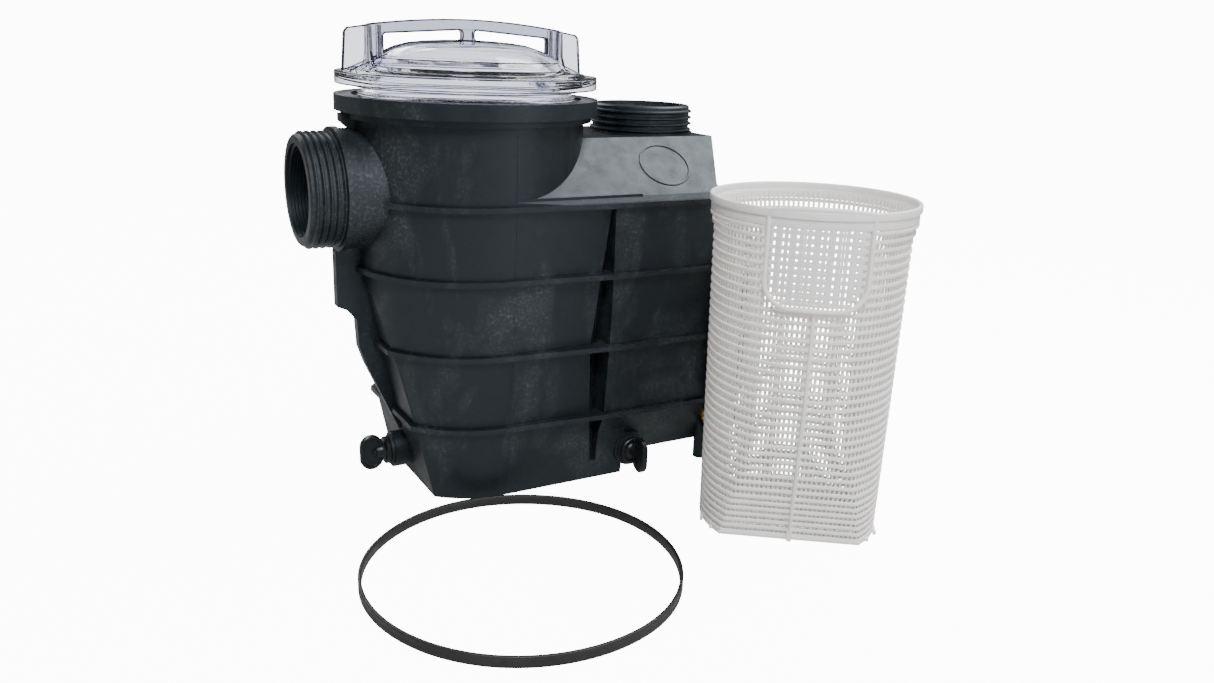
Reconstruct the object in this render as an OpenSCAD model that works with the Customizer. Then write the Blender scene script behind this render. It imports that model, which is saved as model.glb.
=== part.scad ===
// Pool pump wet end: strainer and volute housing, cover, basket, gasket, drain plugs and hydraulic parts.
// Millimetres. +Z up, +X towards the motor end, -X out of the suction port.
// Origin: floor level under the strainer axis.

/* [Strainer pot] */
// radius of the round neck
neck_r = 77;  // [70:0.5:84]
// wall thickness of the moulding
wall = 5;  // [3.5:0.5:7]
// radius of the top flange
flange_r = 86;  // [80:0.5:92]
// top face of the flange above the floor
flange_z = 261.7;  // [240:0.1:280]
// thickness of the top flange
flange_t = 10;  // [6:0.5:14]

/* [Ports] */
// height of the suction axis
suction_z = 203.3;  // [180:0.1:215]
// distance from the strainer axis to the suction face
suction_x = 114;  // [100:0.5:130]
// distance from the strainer axis to the discharge axis
discharge_x = 134.5;  // [120:0.5:145]
// height of the discharge face
discharge_z = 256.6;  // [245:0.1:270]
// crest radius of the outer union thread
port_r = 36.75;  // [30:0.05:40]
// root radius of the outer union thread
port_root_r = 34.9;  // [28:0.05:38]
// wall radius of the inner port bore
port_bore_r = 29.2;  // [24:0.05:32]
// outer thread pitch
port_pitch = 4.233;  // [3:0.001:5]
// length of the outer thread
port_len = 23;  // [18:0.5:30]
// collar behind the suction thread: radius, and distance of its rear face
collar_r = 39.3;  // [38:0.1:41]
collar_x = 88;  // [86:0.5:90]

/* [Rear block] */
// height of the impeller axis
shaft_z = 110;  // [100:0.5:120]
// rear face of the housing
rear_x = 170;  // [160:0.5:185]
// front face of the rear block
step_x = 70;  // [60:0.5:80]
// flat top of the rear block
block_z = 237;  // [225:0.5:245]
// half width of the flat top
block_top_w = 41;  // [30:0.5:50]
// half width of the rear block
block_w = 81;  // [76:0.5:86]
// half width at the foot of the sloping shoulders
shoulder_w = 76.5;  // [72:0.5:81]
// radius of the round rear flange
rear_r = 99.5;  // [96:0.5:110]
// radius of the gasket seat in the rear flange
gasket_r = 94.2;  // [90:0.1:98]
// bolt circle radius of the rear flange
bolt_r = 104;  // [100:0.5:112]

/* [Cover] */
// gap between flange and cover as the cover stands unlocked
cover_gap = 6.3;  // [6:0.1:8]
// rim radius of the cover
cover_r = 85;  // [80:0.5:90]
// height of the grip above the cover's rim
grip_h = 35;  // [25:0.5:42]

/* [Basket] */
// rim radius of the basket
basket_r = 64;  // [60:0.5:68]
// height of the basket
basket_h = 214;  // [190:1:225]
// where the basket stands beside the housing
basket_x = 158;  // [150:1:260]
basket_y = -170;  // [-260:1:-170]

/* [Gasket] */
// outer radius of the loose gasket band
band_r = 94;  // [90:0.5:98]
// where the gasket lies in front of the housing
band_x = -33;  // [-60:1:0]
band_y = -165;  // [-220:1:-165]

/* [Hidden] */
eps = 0.01;
rib_z = [199.8, 153.2, 103.2, 52.7];
rib_t = 3.4;
rib_out = 3.5;
cover_z = flange_z + cover_gap;
basket_turn = 234;
tub_r = [[63, 0], [69, 50], [73.5, 103], [76, 153], [neck_r, 204]];

black = [0.05, 0.052, 0.055];
clear = [0.82, 0.85, 0.95, 0.35];
white = [0.93, 0.92, 0.91];
rubber = [0.04, 0.04, 0.042];
steel = [0.7, 0.71, 0.72];

module ring(ro, ri, h) {
    difference() {
        cylinder(r = ro, h = h, $fn = 96);
        translate([0, 0, -1]) cylinder(r = ri, h = h + 2, $fn = 96);
    }
}

module xcyl(r, x0, x1, n = 96) {
    translate([x0, 0, shaft_z]) rotate([0, 90, 0]) cylinder(r = r, h = x1 - x0, $fn = n);
}

// profile in the XZ plane, given thickness in Y
module slab_y(pts, y0, y1) {
    translate([0, y1, 0]) rotate([90, 0, 0]) linear_extrude(height = y1 - y0) polygon(pts);
}

// profile in the YZ plane, given length in X
module slab_x(pts, x0, x1) {
    translate([x0, 0, 0]) rotate([90, 0, 90]) linear_extrude(height = x1 - x0) polygon(pts);
}

// everything behind the sloping front plane, moved back by d
module behind_front(d, top) {
    slab_y([[-43 + d, -1], [-76.4 + d, 149], [-95 + d, 149.01], [-95 + d, top], [110, top], [110, -1]],
        -120, 120);
}

// straight sided shape with the pot's half widths, less d
module pot_sides(d, z0, x0, x1) {
    a = [for (p = tub_r) [p[0] - d, max(p[1], z0)]];
    b = [for (i = [len(tub_r) - 1:-1:0]) [-(tub_r[i][0] - d), max(tub_r[i][1], z0)]];
    slab_x(concat(a, b), x0, x1);
}

module pot_round(d, z0, z1) {
    rotate_extrude($fn = 128) polygon(concat([[0, z0]], [for (p = tub_r) [p[0] - d, max(p[1], z0)]],
        [[neck_r - d, z1], [0, z1]]));
}

// everything beyond the plane through p with normal n
module beyond(p, n) {
    translate(p) rotate([0, acos(n[2] / norm(n)), atan2(n[1], n[0])]) translate([-200, -200, 0]) cube(400);
}

// hollow in the pot's side just ahead of the rear block, deepest near its middle
module step_recess() {
    intersection() {
        beyond([step_x, -77, 200], [1164, -1164, -186]);
        beyond([step_x, -61.5, 103], [936, -936, -18]);
        translate([40, -100, 14]) cube([step_x - 40, 60, 185]);
    }
}

module pot_outer() {
    intersection() {
        pot_round(0, 0, flange_z);
        behind_front(0, 300);
    }
    difference() {
        pot_sides(0, 0, 0, 92);
        step_recess();
        mirror([0, 1, 0]) step_recess();
    }
}

module pot_inner() {
    intersection() {
        pot_round(wall, 6, flange_z + 1);
        behind_front(wall, 300);
    }
    pot_sides(wall, 6, 0, step_x - 3);
}

module rear_block() {
    slab_x([[-56, 13], [-74, 50], [-79, 102], [-block_w, 153], [-block_w, 197], [-shoulder_w, 203],
        [-block_top_w, block_z], [block_top_w, block_z], [shoulder_w, 203], [block_w, 197],
        [block_w, 153], [79, 102], [74, 50], [56, 13]], step_x, rear_x);
    // sloping shoulders run forward until they meet the round neck
    intersection() {
        slab_x([[-block_w, 196.4], [-block_w, 197], [-shoulder_w, 203], [-block_top_w, block_z],
            [block_top_w, block_z], [shoulder_w, 203], [block_w, 197], [block_w, 196.4]], 0, step_x + 1);
        linear_extrude(height = 300) polygon([[0, -neck_r], [step_x + 1, -block_w], [step_x + 1, block_w], [0, neck_r]]);
    }
}

module rib(z, r, w) {
    x_cut = -43 - 0.2227 * z;
    translate([0, 0, z - rib_t]) linear_extrude(height = rib_t) {
        intersection() {
            circle(r = r + rib_out, $fn = 128);
            translate([max(x_cut - rib_out, -90), -100]) square([200, 200]);
        }
        polygon([[0, -r - rib_out], [step_x, -w - rib_out], [rear_x - 8, -w - rib_out],
            [rear_x - 8, w + rib_out], [step_x, w + rib_out], [0, r + rib_out]]);
    }
}

module rear_flange(x0, x1, r) {
    xcyl(r, x0, x1, 128);
    for (a = [45, 135, 225, 315])
        translate([x0, cos(a) * bolt_r, shaft_z + sin(a) * bolt_r]) rotate([0, 90, 0])
            cylinder(r = 10, h = x1 - x0, $fn = 48);
}

// ridged outer surface standing for the coarse union thread, along +Z from 0
module port_thread(len) {
    n = floor(len / port_pitch);
    pts = concat([[0, 0], [port_root_r, 0]],
        [for (i = [0:n - 1], k = [0:3])
            [k == 0 ? port_root_r : k == 1 ? port_r : k == 2 ? port_r : port_root_r,
                i * port_pitch + [0.6, 1.5, 2.3, 3.2][k]]],
        [[port_root_r, len - 1], [port_root_r - 1, len], [0, len]]);
    rotate_extrude($fn = 96) polygon(pts);
}

module wing_seat(r, len) { cylinder(r = r, h = len, $fn = 64); }

module suction_port() {
    color(black) difference() {
        union() {
            translate([-suction_x + port_len - 1, 0, suction_z]) rotate([0, 90, 0])
                cylinder(r = collar_r, h = suction_x - port_len + 1 - collar_x - 0.02, $fn = 96);
            translate([-suction_x + port_len, 0, suction_z]) rotate([0, -90, 0]) port_thread(port_len);
        }
        translate([-suction_x - 1, 0, suction_z]) rotate([0, 90, 0]) cylinder(r = port_bore_r, h = 40, $fn = 96);
    }
}

module discharge_port() {
    color(black) difference() {
        union() {
            translate([discharge_x, 0, block_z + 0.02]) cylinder(r = 37.6, h = 1, $fn = 96);
            intersection() {
                translate([discharge_x, 0, discharge_z - port_len]) port_thread(port_len);
                translate([discharge_x, 0, block_z + 0.02]) cylinder(r = 50, h = 40, $fn = 96);
            }
        }
        translate([discharge_x, 0, block_z - 1]) cylinder(r = port_bore_r, h = 40, $fn = 96);
    }
}

module strainer_housing() {
    color(black) difference() {
        union() {
            pot_outer();
            // top flange with a raised lip
            translate([0, 0, flange_z - flange_t]) cylinder(r = flange_r, h = flange_t, $fn = 128);
            translate([0, 0, flange_z - flange_t - 4]) cylinder(r = flange_r - 4, h = 4 + eps, $fn = 128);
            difference() {
                union() {
                    rear_block();
                    rib(rib_z[0], neck_r, block_w);
                }
                // slanted rear corners of the sloping shoulders
                for (s = [-1, 1]) translate([0, 0, 191]) linear_extrude(height = 60)
                    polygon([[rear_x + 2, s * 36], [rear_x - 20, s * 82], [rear_x - 22, s * 90],
                        [rear_x + 30, s * 90], [rear_x + 30, s * 36]]);
            }
            rib(rib_z[1], 76, block_w);
            rib(rib_z[2], 73.5, 79);
            rib(rib_z[3], 69.3, 74);
            // keel under the suction port, and gusset above it
            slab_y([[-92.5, 172], [-92.5, 127], [-86, 124], [-80, 117], [-79, 98], [-75, 86], [-53, 36],
                [-45, 36], [-60, 172]], -4, 4);
            slab_y([[-86, flange_z - flange_t - 1], [-86, 246], [-74, 236], [-70, 236],
                [-70, flange_z - flange_t - 1]], -4, 4);
            // suction boss
            translate([-58, 0, suction_z]) rotate([0, -90, 0]) cylinder(r = 38.2, h = collar_x - 58, $fn = 96);
            // rear flange, its feet and drain bosses
            rear_flange(rear_x - 13, rear_x, rear_r);
            for (s = [-1, 1]) translate([rear_x - 8, s * 62, 0]) cylinder(r = 5, h = 45, $fn = 48);
            translate([-44, 0, 20]) rotate([0, -90, 0]) cylinder(r = 12.5, h = 14, $fn = 64);
            translate([97, -50, 19]) rotate([90, 0, 0]) cylinder(r = 12.5, h = 17, $fn = 64);
        }
        pot_inner();
        // stepped neck for the cover's seal, and ledge gaps for its lugs
        translate([0, 0, flange_z - 2.5]) cylinder(r = 75, h = 10, $fn = 128);
        // suction way
        translate([-suction_x - 1, 0, suction_z]) rotate([0, 90, 0]) cylinder(r = port_bore_r + 0.8, h = 70, $fn = 96);
        translate([-suction_x - 1, 0, suction_z]) rotate([0, 90, 0])
            cylinder(r = collar_r + 0.1, h = suction_x + 1 - collar_x, $fn = 96);
        // eye between pot and volute
        xcyl(33.3, 60, 84);
        // volute chamber, riser and discharge way
        xcyl(74.8, step_x + 9, rear_x - 8);
        translate([step_x + 32, -26, shaft_z]) cube([rear_x - 12 - step_x - 32, 52, block_z - shaft_z - 9]);
        translate([discharge_x, 0, block_z - 30]) cylinder(r = port_bore_r + 0.8, h = 60, $fn = 96);
        xcyl(gasket_r, rear_x - 10, rear_x + 1, 128);
        // bolt insert holes
        for (a = [45, 135, 225, 315])
            translate([rear_x - 20, cos(a) * bolt_r, shaft_z + sin(a) * bolt_r]) rotate([0, 90, 0])
                cylinder(r = 6, h = 30, $fn = 48);
        // drain ways
        translate([-30, 0, 20]) rotate([0, -90, 0]) cylinder(r = 6.9, h = 40, $fn = 48);
        translate([97, -20, 19]) rotate([90, 0, 0]) cylinder(r = 6.9, h = 60, $fn = 48);
        translate([97, -20, 19]) cylinder(r = 5.5, h = 32, $fn = 48);
    }
    // ledges that hold the cover's lugs
    color(black) for (a = [22.5:90:360]) rotate([0, 0, a]) intersection() {
        translate([0, 0, flange_z - 15]) ring(neck_r - 3, 68.8, 2.6);
        translate([0, 0, flange_z - 30]) linear_extrude(height = 30) polygon([[0, 0], [90, 0], [90, 42], [80, 66]]);
    }
}

module strainer_cover() {
    z = cover_z;
    color(clear) {
        // rim and plug skirt
        translate([0, 0, z]) ring(cover_r, 60, 8);
        difference() {
            union() {
                translate([0, 0, z - 18.4]) cylinder(r = 67.8, h = 18.6, $fn = 128);
                translate([0, 0, z - 12]) cylinder(r = 71.2, h = 7, $fn = 128);
            }
            translate([0, 0, z - 19]) cylinder(r = 61.5, h = 21, $fn = 128);
            translate([0, 0, z - 10.2]) ring(75, 68.45, 3.4);
        }
        translate([0, 0, z - 1.6]) ring(73.5, 61, 2);
        // lugs that pass between the ledges
        for (a = [337.5:90:700]) rotate([0, 0, a + 14]) intersection() {
            translate([0, 0, z - 18]) ring(71, 62, 2.6);
            translate([0, 0, z - 40]) linear_extrude(height = 60) polygon([[0, 0], [90, 0], [90, 14]]);
        }
        // dome
        translate([0, 0, z]) rotate_extrude($fn = 128) polygon([[0, 27.2], [20, 26.6], [40, 23.5], [52, 19],
            [60, 12], [66, 7.5], [66, 3], [60, 3], [57, 9], [50, 15], [39, 19.3], [20, 22.2], [0, 22.8]]);
        // grip: crowned wall across the cover with two windows, posts and end fins
        intersection() {
            translate([0, -2.5, 0]) difference() {
                slab_y([[-cover_r + 2, z + 7], [-cover_r + 2, z + grip_h], [-50, z + grip_h + 5],
                    [0, z + grip_h + 7], [50, z + grip_h + 5], [cover_r - 2, z + grip_h], [cover_r - 2, z + 7]], 0, 5);
                for (s = [-1, 1]) translate([s > 0 ? 6 : -53, -10, z + 22]) cube([47, 30, grip_h - 23]);
            }
            difference() {
                translate([0, 0, z]) cylinder(r = cover_r, h = 60, $fn = 96);
                translate([0, 0, z]) rotate_extrude($fn = 128) polygon([[0, 25], [20, 24.4], [40, 21.4],
                    [51, 17], [58.5, 10.5], [63, 5], [63, -1], [0, -1]]);
            }
        }
        slab_y([[-81, z + grip_h - 6], [-50, z + grip_h - 2], [0, z + grip_h], [50, z + grip_h - 2],
            [81, z + grip_h - 6], [81, z + grip_h], [50, z + grip_h + 4.6], [0, z + grip_h + 6.6],
            [-50, z + grip_h + 4.6], [-81, z + grip_h]], -6, 6);
        for (s = [-1, 1]) translate([s * 61 - 2, -6, z + 7]) cube([4, 12, grip_h - 6]);
    }
}

module cover_seal() {
    color(rubber) translate([0, 0, cover_z - 8.5]) rotate_extrude($fn = 128)
        translate([70.08, 0]) circle(r = 1.6, $fn = 24);
}

module basket_shape(d) {
    // tapered round pot with a sloping lower front, wall moved in by d
    intersection() {
        rotate_extrude($fn = 96) polygon([[0, d], [57.5 - d, d], [60.5 - d, 190], [60.5 - d, basket_h - 22],
            [63 - d, basket_h - 12], [63 - d, basket_h + d * 4], [0, basket_h + d * 4]]);
        slab_y([[-37 + d, d], [-58 + d, 97], [-68, 142], [-68, 300], [80, 300], [80, d]], -80, 80);
    }
}

module strainer_basket() {
    color(white) translate([basket_x, basket_y, 0]) rotate([0, 0, basket_turn + 180]) {
        difference() {
            basket_shape(0);
            basket_shape(1.8);
            // window rows round the sides and back
            for (i = [0:7]) for (a = [-101.25:22.5:101.3])
                rotate([0, 0, a]) translate([40, -7.5, 12 + i * 22.5]) cube([40, 15, 16]);
            // floor drain holes
            for (x = [-24:16:40]) for (y = [-32:16:32]) translate([x - 4, y - 4, -1]) cube([9, 9, 6]);
        }
        // rim
        translate([0, 0, basket_h - 5]) ring(basket_r, 61.6, 5);
        // front panel, standing a little proud
        intersection() {
            slab_x([[-28, basket_h - 48], [-18, basket_h - 58], [18, basket_h - 58], [28, basket_h - 48],
                [28, basket_h - 2], [-28, basket_h - 2]], -70, -40);
            translate([0, 0, 100]) ring(63.5, 59.6, basket_h - 98);
        }
    }
}

module housing_gasket() {
    color(rubber) translate([band_x, band_y, 0]) ring(band_r, band_r - 2, 6.5);
}

// wing plug along +Z, seat face at z 0, thread below
module drain_plug() {
    translate([0, 0, -11]) cylinder(r = 6.82, h = 12, $fn = 48);
    cylinder(r = 7.4, h = 3, $fn = 48);
    translate([0, 0, 2]) cylinder(r = 9.5, h = 3.2, $fn = 48);
    cylinder(r = 4.5, h = 12, $fn = 48);
    // oval wing
    translate([0, -2, 14]) rotate([-90, 0, 0]) linear_extrude(height = 4) union() {
        translate([-4.5, 0]) circle(r = 8, $fn = 48);
        translate([4.5, 0]) circle(r = 8, $fn = 48);
        square([9, 16], center = true);
    }
}

module drain_gasket() { translate([0, 0, 0.02]) ring(10.2, 7.46, 1.9); }

module at_front_drain() { translate([-58.05, 0, 20]) rotate([0, -90, 0]) children(); }
module at_side_drain() { translate([97, -67.05, 19]) rotate([90, 0, 0]) rotate([0, 0, 90]) children(); }

module drain_plug_front() { color(black) at_front_drain() drain_plug(); }
module drain_plug_front_gasket() { color(rubber) at_front_drain() drain_gasket(); }
module drain_plug_side() { color(black) at_side_drain() drain_plug(); }
module drain_plug_side_gasket() { color(rubber) at_side_drain() drain_gasket(); }

module diffuser() {
    color(black) difference() {
        union() {
            xcyl(30.5, step_x - 2, step_x + 24);
            xcyl(72, step_x + 22, step_x + 26);
            difference() {
                xcyl(72, step_x + 25, step_x + 62);
                xcyl(69, step_x + 24, step_x + 63);
            }
            // guide vanes
            for (a = [0:60:300]) translate([step_x + 25, 0, shaft_z]) rotate([a, 0, 0])
                translate([0, 60.5, -10]) rotate([-38, 0, 0]) cube([35, 3, 15.5]);
            for (a = [30, 150, 270]) translate([step_x + 25, cos(a) * 65.5, shaft_z + sin(a) * 65.5])
                rotate([0, 90, 0]) cylinder(r = 5, h = rear_x - 9.05 - step_x - 25, $fn = 32);
        }
        xcyl(27, step_x - 3, step_x + 23);
        xcyl(28.5, step_x + 22, step_x + 30);
        for (a = [30, 150, 270]) translate([step_x, cos(a) * 65.5, shaft_z + sin(a) * 65.5])
            rotate([0, 90, 0]) cylinder(r = 2.2, h = 120, $fn = 32);
        // outlet slots
        for (a = [0:60:300]) translate([step_x + 30, 0, shaft_z]) rotate([a + 6, 0, 0])
            translate([0, 62, 4]) cube([26, 20, 15]);
        // groove for the ring
        translate([step_x + 5, 0, shaft_z]) rotate([0, 90, 0]) ring(34, 28.9, 3.6);
    }
}

module diffuser_ring() {
    color(rubber) translate([step_x + 6.8, 0, shaft_z]) rotate([0, 90, 0]) rotate_extrude($fn = 96)
        translate([31.1, 0]) circle(r = 1.75, $fn = 24);
}

module diffuser_screws() {
    color(steel) for (a = [30, 150, 270]) translate([step_x + 21.98, cos(a) * 65.5, shaft_z + sin(a) * 65.5])
        rotate([0, 90, 0]) {
            cylinder(r = 2, h = rear_x - step_x - 24, $fn = 32);
            difference() {
                translate([0, 0, -2.8]) cylinder(r = 4, h = 2.8 + eps, $fn = 32);
                for (q = [0, 90]) rotate([0, 0, q]) translate([-2.4, -0.5, -3]) cube([4.8, 1, 1.6]);
            }
        }
}

module impeller() {
    x0 = step_x + 33;
    color([0.08, 0.08, 0.085]) difference() {
        union() {
            // eye collar and front shroud
            translate([x0 - 12, 0, shaft_z]) rotate([0, 90, 0]) ring(24.6, 22, 14.4);
            translate([x0, 0, shaft_z]) rotate([0, 90, 0]) ring(56, 23, 2.4);
            // back shroud and hub
            xcyl(56, x0 + 12, x0 + 15);
            xcyl(15, x0 + 2, x0 + 15);
            xcyl(12.5, x0 + 14, x0 + 23.5);
            // vanes
            for (a = [0:60:300]) translate([x0 + 1, 0, shaft_z]) rotate([a, 0, 0])
                translate([0, 11, -6]) rotate([-28, 0, 0]) cube([12, 42, 2.4]);
        }
        // blind threaded shaft bore and screw way
        xcyl(5.6, x0 + 10, x0 + 30, 48);
        xcyl(4.2, x0 + 5, x0 + 11, 48);
        xcyl(3.3, x0 - 13, x0 + 6, 48);
    }
}

module impeller_ring() {
    color(white) translate([step_x + 23.02, 0, shaft_z]) rotate([0, 90, 0]) ring(28.45, 25.1, 5);
}

module impeller_screw() {
    x0 = step_x + 33;
    color(steel) {
        xcyl(3.2, x0 + 1, x0 + 9.5, 48);
        difference() {
            xcyl(6, x0 - 2.6, x0 + 1.98, 48);
            translate([x0 - 3.6, 0, shaft_z]) rotate([0, 90, 0]) cylinder(r = 2.9, h = 3.4, $fn = 6);
        }
    }
}

module seal_head() {
    x0 = step_x + 48.02;
    color(rubber) difference() {
        union() {
            xcyl(16, x0, x0 + 2.5);
            xcyl(14.2, x0 + 2, x0 + 9);
        }
        xcyl(12.55, x0 - 1, x0 + 11);
    }
    color([0.12, 0.12, 0.125]) difference() {
        xcyl(17, x0 + 13, x0 + 18);
        xcyl(9.4, x0 + 12, x0 + 19);
    }
    color(rubber) difference() {
        xcyl(13.8, x0 + 8.6, x0 + 13.2);
        xcyl(12.55, x0 + 8, x0 + 9.1);
        xcyl(10, x0 + 8, x0 + 14);
    }
}

module seal_spring() {
    x0 = step_x + 50.62;
    color(steel) for (i = [0:5]) translate([x0 + 1 + i * 1.68, 0, shaft_z]) rotate([0, 90, 0])
        rotate_extrude($fn = 64) translate([15.3, 0]) circle(r = 0.95, $fn = 16);
}

module seal_seat() {
    color([0.9, 0.88, 0.83]) difference() {
        xcyl(17, step_x + 66.12, step_x + 73);
        xcyl(9.4, step_x + 65, step_x + 75);
    }
}

module seal_cup() {
    color(rubber) difference() {
        xcyl(19.9, step_x + 67, step_x + 75);
        xcyl(17.05, step_x + 66, step_x + 73.05);
        xcyl(10.5, step_x + 65, step_x + 76);
    }
}

module seal_plate() {
    x1 = rear_x + 9;
    color([0.055, 0.057, 0.06]) difference() {
        union() {
            rear_flange(rear_x + 0.02, x1, rear_r);
            xcyl(gasket_r - 2.6, rear_x - 9, rear_x + 1, 128);
            // dished wall that carries the seal
            xcyl(26, step_x + 63, rear_x - 8);
            // motor pad ring on open ribs, so the motor bolts' heads can be reached
            xcyl(84, x1 + 8, x1 + 16);
            for (a = [22.5:45:340]) translate([x1 - 1, 0, shaft_z]) rotate([a, 0, 0])
                translate([0, 48, -3.5]) cube([10, 36, 7]);
            xcyl(22, x1 - 1, x1 + 5);
        }
        // seal pocket, shaft way
        xcyl(19.95, step_x + 62, step_x + 75.02);
        xcyl(11, step_x + 60, rear_x + 40);
        // motor pilot and the open middle of the pad
        xcyl(57.15, x1 + 12, x1 + 18);
        xcyl(52, x1 + 7, x1 + 18);
        for (a = [45, 135, 225, 315])
            translate([x1 + 6, cos(a) * 74.6, shaft_z + sin(a) * 74.6]) rotate([0, 90, 0])
                cylinder(r = 5.2, h = 20, $fn = 48);
        // clearance holes for the housing bolts
        for (a = [45, 135, 225, 315])
            translate([rear_x - 20, cos(a) * bolt_r, shaft_z + sin(a) * bolt_r]) rotate([0, 90, 0])
                cylinder(r = 4.4, h = 60, $fn = 48);
        // blind holes for the diffuser screws
        for (a = [30, 150, 270]) translate([rear_x - 10, cos(a) * 65.5, shaft_z + sin(a) * 65.5])
            rotate([0, 90, 0]) cylinder(r = 2.05, h = 11, $fn = 32);
        // lightening pockets behind the flange
        for (a = [0:45:315]) translate([rear_x + 4, 0, shaft_z]) rotate([a, 0, 0])
            translate([0, 56, -12]) cube([12, 30, 24]);
    }
}

module housing_bolts() {
    color(steel) for (a = [45, 135, 225, 315])
        translate([rear_x + 9, cos(a) * bolt_r, shaft_z + sin(a) * bolt_r]) rotate([0, 90, 0]) {
            translate([0, 0, -21]) cylinder(r = 3.95, h = 23, $fn = 48);
            translate([0, 0, 1.65]) cylinder(r = 7.5, h = 5.3, $fn = 6);
        }
}

module housing_washers() {
    color(steel) for (a = [45, 135, 225, 315])
        translate([rear_x + 9.02, cos(a) * bolt_r, shaft_z + sin(a) * bolt_r]) rotate([0, 90, 0]) ring(8.4, 4.2, 1.6);
}

module bolt_inserts() {
    color([0.72, 0.58, 0.3]) for (a = [45, 135, 225, 315])
        translate([rear_x - 13, cos(a) * bolt_r, shaft_z + sin(a) * bolt_r]) rotate([0, 90, 0]) ring(5.97, 4, 12.9);
}

strainer_housing();
suction_port();
discharge_port();
bolt_inserts();
strainer_cover();
cover_seal();
strainer_basket();
housing_gasket();
drain_plug_front();
drain_plug_front_gasket();
drain_plug_side();
drain_plug_side_gasket();
diffuser();
diffuser_ring();
diffuser_screws();
impeller();
impeller_ring();
impeller_screw();
seal_head();
seal_spring();
seal_seat();
seal_cup();
seal_plate();
housing_bolts();
housing_washers();
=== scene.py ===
import math
import bpy, bmesh
from mathutils import Matrix, Vector


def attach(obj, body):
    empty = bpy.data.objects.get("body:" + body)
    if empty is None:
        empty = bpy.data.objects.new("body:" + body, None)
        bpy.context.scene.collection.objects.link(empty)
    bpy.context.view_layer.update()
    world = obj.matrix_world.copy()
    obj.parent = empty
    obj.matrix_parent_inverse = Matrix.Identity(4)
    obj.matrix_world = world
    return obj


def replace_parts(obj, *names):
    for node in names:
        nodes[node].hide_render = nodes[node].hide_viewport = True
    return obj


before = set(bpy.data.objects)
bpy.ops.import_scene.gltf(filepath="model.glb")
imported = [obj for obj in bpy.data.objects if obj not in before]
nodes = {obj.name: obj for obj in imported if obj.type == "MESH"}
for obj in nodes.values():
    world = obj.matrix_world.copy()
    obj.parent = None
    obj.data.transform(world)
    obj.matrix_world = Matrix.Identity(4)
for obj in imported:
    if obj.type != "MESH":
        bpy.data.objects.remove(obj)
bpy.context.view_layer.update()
scene = bpy.context.scene
pi, tau = math.pi, math.tau
mm = 0.001
UP = Vector((0, 0, 1))

# ------------------------------------------------------------------ camera
CAMERA_AT = (-0.2638, -0.65063, 0.3045)
CAMERA_RIGHT = Vector((0.86988, -0.49192, 0.03630))
CAMERA_AHEAD = Vector((0.48051, 0.82847, -0.28765))
CAMERA_LENS = 30.45

def make_camera():
    data = bpy.data.cameras.new("cam")
    data.sensor_width = 36.0
    data.lens = CAMERA_LENS
    data.clip_start = 0.01
    cam = bpy.data.objects.new("cam", data)
    right, ahead = CAMERA_RIGHT.normalized(), CAMERA_AHEAD.normalized()
    up = right.cross(ahead).normalized()
    cam.matrix_world = Matrix.Translation(CAMERA_AT) @ Matrix((right, up, -ahead)).transposed().to_4x4()
    scene.collection.objects.link(cam)
    scene.camera = cam

make_camera()

# ------------------------------------------------------------------ material helpers
def mat(name):
    m = bpy.data.materials.new(name)
    m.use_nodes = True
    nt = m.node_tree
    nt.nodes.clear()
    out = nt.nodes.new("ShaderNodeOutputMaterial")
    b = nt.nodes.new("ShaderNodeBsdfPrincipled")
    nt.links.new(b.outputs[0], out.inputs[0])
    return m, nt, b

def coords(nt, scale=(1, 1, 1)):
    t = nt.nodes.new("ShaderNodeTexCoord")
    m = nt.nodes.new("ShaderNodeMapping")
    m.inputs["Scale"].default_value = scale
    nt.links.new(t.outputs["Object"], m.inputs["Vector"])
    return m.outputs["Vector"]

def noise(nt, vec, scale, detail, rough, dist=0.0):
    n = nt.nodes.new("ShaderNodeTexNoise")
    n.inputs["Scale"].default_value = scale
    n.inputs["Detail"].default_value = detail
    n.inputs["Roughness"].default_value = rough
    n.inputs["Distortion"].default_value = dist
    nt.links.new(vec, n.inputs["Vector"])
    return n.outputs["Fac"]

def ramp(nt, fac, stops):
    """Colour ramp through (position, colour) stops; a colour may be one grey value."""
    n = nt.nodes.new("ShaderNodeValToRGB")
    elements = n.color_ramp.elements
    for element, (position, colour) in zip(elements, stops):
        element.position = position
        element.color = (*colour, 1) if isinstance(colour, tuple) else (colour, colour, colour, 1)
    nt.links.new(fac, n.inputs["Fac"])
    return n.outputs["Color"]

def math_node(nt, op, a, b):
    n = nt.nodes.new("ShaderNodeMath")
    n.operation = op
    for k, v in enumerate((a, b)):
        if isinstance(v, (int, float)):
            n.inputs[k].default_value = v
        else:
            nt.links.new(v, n.inputs[k])
    return n.outputs[0]

def bump(nt, b, height, dist, strength):
    n = nt.nodes.new("ShaderNodeBump")
    n.inputs["Distance"].default_value = dist
    n.inputs["Strength"].default_value = strength
    nt.links.new(height, n.inputs["Height"])
    nt.links.new(n.outputs["Normal"], b.inputs["Normal"])

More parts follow.
